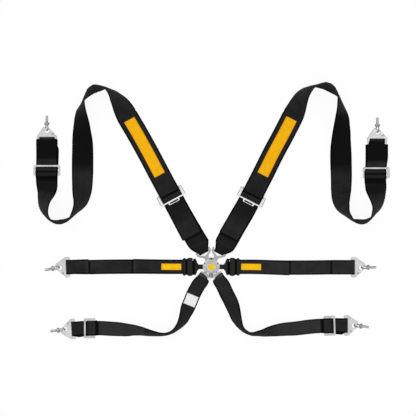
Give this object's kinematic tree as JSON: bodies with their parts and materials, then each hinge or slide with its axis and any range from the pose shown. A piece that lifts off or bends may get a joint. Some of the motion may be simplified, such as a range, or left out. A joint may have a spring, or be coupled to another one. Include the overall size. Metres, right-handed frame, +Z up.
{
  "type": "racing harness",
  "caption": "Racing harness with a rotary buckle, shoulder, lap and leg straps of webbing, adjusters, and snap brackets with eyebolts.",
  "frame": {"origin": "centre of the buckle's back, on the surface that the harness lies on", "axes": "+X to the harness's right in the picture, +Y to the shoulder anchors, +Z up from the surface"},
  "size_m": [1.2686, 0.9177, 0.0777],
  "materials": {
    "webbing": "woven polyester, matte",
    "patch": "woven patch, stitched on",
    "label": "bare woven label",
    "boot": "moulded, matte",
    "badge": "glossy",
    "black_steel": "black coated",
    "dark_steel": "zinc plated",
    "bright_metal": "satin, plated"
  },
  "bodies": {
    "buckle": {"buckle_back_plate": "dark_steel", "buckle_housing": "bright_metal", "buckle_screw_1": "dark_steel", "buckle_screw_2": "dark_steel", "buckle_screw_3": "dark_steel", "buckle_screw_4": "dark_steel", "buckle_latch_star": "dark_steel", "buckle_centre_post": "dark_steel", "buckle_return_spring": "dark_steel", "lap_left_tongue": "black_steel", "lap_left_webbing": "webbing", "lap_left_adjuster_boot": "boot", "lap_left_patch": "patch"},
    "knob": {"buckle_turn_knob": "bright_metal", "buckle_badge": "badge", "buckle_cam_plate": "dark_steel"},
    "shoulder_left": {"shoulder_left_tongue": "bright_metal", "shoulder_left_lower_webbing": "webbing", "shoulder_left_upper_webbing": "webbing", "shoulder_left_patch": "patch"},
    "shoulder_right": {"shoulder_right_tongue": "bright_metal", "shoulder_right_lower_webbing": "webbing", "shoulder_right_upper_webbing": "webbing", "shoulder_right_patch": "patch"},
    "lap_right": {"lap_right_tongue": "black_steel", "lap_right_webbing": "webbing", "lap_right_adjuster_boot": "boot", "lap_right_patch": "patch"},
    "leg_left": {"leg_left_tongue": "bright_metal", "leg_left_webbing": "webbing", "leg_left_label": "label"},
    "leg_right": {"leg_right_tongue": "bright_metal", "leg_right_webbing": "webbing"},
    "shoulder_left_adjuster": {"shoulder_left_adjuster_frame": "bright_metal"},
    "shoulder_left_slide_bar": {"shoulder_left_slide_bar": "dark_steel"},
    "shoulder_right_adjuster": {"shoulder_right_adjuster_frame": "bright_metal"},
    "shoulder_right_slide_bar": {"shoulder_right_slide_bar": "dark_steel"},
    "shoulder_left_slider": {"shoulder_left_slider": "bright_metal"},
    "shoulder_right_slider": {"shoulder_right_slider": "bright_metal"},
    "leg_left_slider": {"leg_left_slider": "bright_metal"},
    "leg_right_slider": {"leg_right_slider": "bright_metal"},
    "shoulder_left_bracket": {"shoulder_left_snap_bracket": "bright_metal"},
    "shoulder_left_gate": {"shoulder_left_snap_gate": "dark_steel"},
    "shoulder_left_eyebolt": {"shoulder_left_eyebolt": "bright_metal"},
    "shoulder_right_bracket": {"shoulder_right_snap_bracket": "bright_metal"},
    "shoulder_right_gate": {"shoulder_right_snap_gate": "dark_steel"},
    "shoulder_right_eyebolt": {"shoulder_right_eyebolt": "bright_metal"},
    "lap_left_bracket": {"lap_left_snap_bracket": "bright_metal"},
    "lap_left_gate": {"lap_left_snap_gate": "dark_steel"},
    "lap_left_eyebolt": {"lap_left_eyebolt": "bright_metal"},
    "lap_right_bracket": {"lap_right_snap_bracket": "bright_metal"},
    "lap_right_gate": {"lap_right_snap_gate": "dark_steel"},
    "lap_right_eyebolt": {"lap_right_eyebolt": "bright_metal"},
    "leg_left_bracket": {"leg_left_snap_bracket": "bright_metal"},
    "leg_left_gate": {"leg_left_snap_gate": "dark_steel"},
    "leg_left_eyebolt": {"leg_left_eyebolt": "bright_metal"},
    "leg_right_bracket": {"leg_right_snap_bracket": "bright_metal"},
    "leg_right_gate": {"leg_right_snap_gate": "dark_steel"},
    "leg_right_eyebolt": {"leg_right_eyebolt": "bright_metal"}
  },
  "joints": [
    {"name": "knob_turn", "type": "hinge", "parent": "buckle", "child": "knob", "pos_m": [0, 0, 0.0215], "axis": [0, 0, 1], "range_deg": [-40, 40], "stiffness_Nm_per_rad": 0.12},
    {"name": "shoulder_left_release", "type": "slide", "parent": "buckle", "child": "shoulder_left", "axis": [-0.4617, 0.887, 0], "range_m": [0, 0.025], "deforming": ["buckle_latch_star"]},
    {"name": "shoulder_right_release", "type": "slide", "parent": "buckle", "child": "shoulder_right", "axis": [0.4617, 0.887, 0], "range_m": [0, 0.025], "deforming": ["buckle_latch_star"]},
    {"name": "lap_right_release", "type": "slide", "parent": "buckle", "child": "lap_right", "axis": [1, 0, 0], "range_m": [0, 0.025], "deforming": ["buckle_latch_star"]},
    {"name": "leg_left_release", "type": "slide", "parent": "buckle", "child": "leg_left", "axis": [-0.6428, -0.766, 0], "range_m": [0, 0.025], "deforming": ["buckle_latch_star"]},
    {"name": "leg_right_release", "type": "slide", "parent": "buckle", "child": "leg_right", "axis": [0.6293, -0.7771, 0], "range_m": [0, 0.025], "deforming": ["buckle_latch_star"]},
    {"name": "shoulder_left_adjuster_tilt", "type": "hinge", "parent": "shoulder_left", "child": "shoulder_left_adjuster", "pos_m": [-0.1503, 0.2661, 0.005], "axis": [-0.8796, -0.4756, 0], "range_deg": [0, 30], "deforming": ["shoulder_left_upper_webbing"]},
    {"name": "shoulder_right_adjuster_tilt", "type": "hinge", "parent": "shoulder_right", "child": "shoulder_right_adjuster", "pos_m": [0.1501, 0.2626, 0.005], "axis": [-0.8894, 0.4571, 0], "range_deg": [0, 30], "deforming": ["shoulder_right_upper_webbing"]},
    {"name": "shoulder_left_slide_bar_shift", "type": "slide", "parent": "shoulder_left_adjuster", "child": "shoulder_left_slide_bar", "axis": [0.4756, -0.8796, 0], "range_m": [-0.003, 0.003], "deforming": ["shoulder_left_upper_webbing"]},
    {"name": "shoulder_right_slide_bar_shift", "type": "slide", "parent": "shoulder_right_adjuster", "child": "shoulder_right_slide_bar", "axis": [-0.4571, -0.8894, 0], "range_m": [-0.003, 0.003], "deforming": ["shoulder_right_upper_webbing"]},
    {"name": "shoulder_left_slider_shift", "type": "slide", "parent": "shoulder_left", "child": "shoulder_left_slider", "axis": [0, 1, 0], "range_m": [-0.012, 0.012], "deforming": ["shoulder_left_upper_webbing"]},
    {"name": "shoulder_right_slider_shift", "type": "slide", "parent": "shoulder_right", "child": "shoulder_right_slider", "axis": [0, 1, 0], "range_m": [-0.012, 0.012], "deforming": ["shoulder_right_upper_webbing"]},
    {"name": "leg_left_slider_shift", "type": "slide", "parent": "leg_left", "child": "leg_left_slider", "axis": [-1, 0, 0], "range_m": [-0.012, 0.012], "deforming": ["leg_left_webbing"]},
    {"name": "leg_right_slider_shift", "type": "slide", "parent": "leg_right", "child": "leg_right_slider", "axis": [0.9994, 0.0349, 0], "range_m": [-0.012, 0.012], "deforming": ["leg_right_webbing"]},
    {"name": "shoulder_left_bracket_swing", "type": "hinge", "parent": "shoulder_left", "child": "shoulder_left_bracket", "pos_m": [-0.586, 0.458, 0.00553], "axis": [1, 0, 0], "range_deg": [-70, 70]},
    {"name": "shoulder_left_gate_open", "type": "hinge", "parent": "shoulder_left_bracket", "child": "shoulder_left_gate", "pos_m": [-0.5665, 0.4751, 0.00927], "axis": [0, -0.2133, 0.977], "range_deg": [0, 12], "stiffness_Nm_per_rad": 0.05},
    {"name": "shoulder_left_eyebolt_swing", "type": "hinge", "parent": "shoulder_left_bracket", "child": "shoulder_left_eyebolt", "pos_m": [-0.586, 0.49219, 0.013], "axis": [1, 0, 0], "range_deg": [-60, 60]},
    {"name": "shoulder_right_bracket_swing", "type": "hinge", "parent": "shoulder_right", "child": "shoulder_right_bracket", "pos_m": [0.5926, 0.4523, 0.00553], "axis": [1, 0, 0], "range_deg": [-70, 70]},
    {"name": "shoulder_right_gate_open", "type": "hinge", "parent": "shoulder_right_bracket", "child": "shoulder_right_gate", "pos_m": [0.6121, 0.4694, 0.00927], "axis": [0, -0.2133, 0.977], "range_deg": [0, 12], "stiffness_Nm_per_rad": 0.05},
    {"name": "shoulder_right_eyebolt_swing", "type": "hinge", "parent": "shoulder_right_bracket", "child": "shoulder_right_eyebolt", "pos_m": [0.5926, 0.48649, 0.013], "axis": [1, 0, 0], "range_deg": [-60, 60]},
    {"name": "lap_left_bracket_swing", "type": "hinge", "parent": "buckle", "child": "lap_left_bracket", "pos_m": [-0.513, -0.0012, 0.00553], "axis": [-0.0349, 0.9994, 0], "range_deg": [-70, 70]},
    {"name": "lap_left_gate_open", "type": "hinge", "parent": "lap_left_bracket", "child": "lap_left_gate", "pos_m": [-0.52941, -0.02128, 0.00927], "axis": [-0.2132, -0.0074, -0.977], "range_deg": [0, 12], "stiffness_Nm_per_rad": 0.05},
    {"name": "lap_left_eyebolt_swing", "type": "hinge", "parent": "lap_left_bracket", "child": "lap_left_eyebolt", "pos_m": [-0.54717, -0.00239, 0.013], "axis": [-0.0349, 0.9994, 0], "range_deg": [-60, 60]},
    {"name": "lap_right_bracket_swing", "type": "hinge", "parent": "lap_right", "child": "lap_right_bracket", "pos_m": [0.5073, -0.0016, 0.00553], "axis": [0, -1, 0], "range_deg": [-70, 70]},
    {"name": "lap_right_gate_open", "type": "hinge", "parent": "lap_right_bracket", "child": "lap_right_gate", "pos_m": [0.5244, -0.0211, 0.00927], "axis": [-0.2133, 0, 0.977], "range_deg": [0, 12], "stiffness_Nm_per_rad": 0.05},
    {"name": "lap_right_eyebolt_swing", "type": "hinge", "parent": "lap_right_bracket", "child": "lap_right_eyebolt", "pos_m": [0.54149, -0.0016, 0.013], "axis": [0, -1, 0], "range_deg": [-60, 60]},
    {"name": "leg_left_bracket_swing", "type": "hinge", "parent": "leg_left", "child": "leg_left_bracket", "pos_m": [-0.4934, -0.2215, 0.00553], "axis": [-0.0698, 0.9976, 0], "range_deg": [-70, 70]},
    {"name": "leg_left_gate_open", "type": "hinge", "parent": "leg_left_bracket", "child": "leg_left_gate", "pos_m": [-0.51182, -0.20324, 0.00927], "axis": [0.2128, 0.0149, 0.977], "range_deg": [0, 12], "stiffness_Nm_per_rad": 0.05},
    {"name": "leg_left_eyebolt_swing", "type": "hinge", "parent": "leg_left_bracket", "child": "leg_left_eyebolt", "pos_m": [-0.52751, -0.22389, 0.013], "axis": [-0.0698, 0.9976, 0], "range_deg": [-60, 60]},
    {"name": "leg_right_bracket_swing", "type": "hinge", "parent": "leg_right", "child": "leg_right_bracket", "pos_m": [0.482, -0.209, 0.00553], "axis": [0, -1, 0], "range_deg": [-70, 70]},
    {"name": "leg_right_gate_open", "type": "hinge", "parent": "leg_right_bracket", "child": "leg_right_gate", "pos_m": [0.4991, -0.2285, 0.00927], "axis": [-0.2133, 0, 0.977], "range_deg": [0, 12], "stiffness_Nm_per_rad": 0.05},
    {"name": "leg_right_eyebolt_swing", "type": "hinge", "parent": "leg_right_bracket", "child": "leg_right_eyebolt", "pos_m": [0.51619, -0.209, 0.013], "axis": [0, -1, 0], "range_deg": [-60, 60]}
  ]
}
